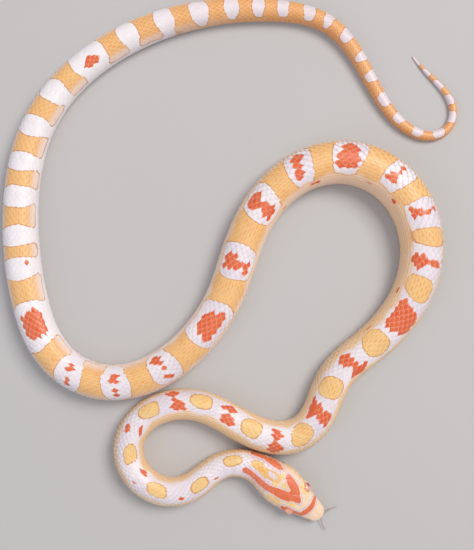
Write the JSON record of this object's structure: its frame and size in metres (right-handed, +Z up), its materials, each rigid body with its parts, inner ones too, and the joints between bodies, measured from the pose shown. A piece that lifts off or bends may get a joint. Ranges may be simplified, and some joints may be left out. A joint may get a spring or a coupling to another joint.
{
  "type": "corn snake",
  "caption": "Life-size corn snake lying in loose loops on a floor, belly pressed flat, with its forked tongue out. A still model with no joints.",
  "frame": {"origin": "on the floor under the middle of the whole coil, at the height of the flat belly", "axes": "+Z up, away from the floor. +Y runs from the head's side of the coil to the side where the body lies in its wide outer arc, and +X to the right seen from above with +Y away"},
  "size_m": [0.1382, 0.1624, 0.0119],
  "materials": {
    "head_scales": "smooth, softly glossy head shields, peach with red-orange bands",
    "body_scales": "satin keeled scales, lilac white and orange with red-orange flecks",
    "tail_scales": "satin scales, orange and white bands",
    "eye": "wet gloss over a pink-red iris and a dark red pupil",
    "tongue": "moist, pale pink"
  },
  "bodies": {
    "root": {"head": "head_scales", "lower_jaw": "head_scales", "eye_left": "eye", "eye_right": "eye", "tongue": "tongue", "neck": "body_scales", "body_1": "body_scales", "body_2": "body_scales", "body_3": "body_scales", "body_4": "body_scales", "body_5": "body_scales", "body_6": "body_scales", "body_7": "body_scales", "body_8": "body_scales", "body_9": "body_scales", "body_10": "body_scales", "body_11": "body_scales", "body_12": "body_scales", "tail_1": "tail_scales", "tail_2": "tail_scales", "tail_3": "tail_scales", "tail_4": "tail_scales"}
  },
  "joints": []
}
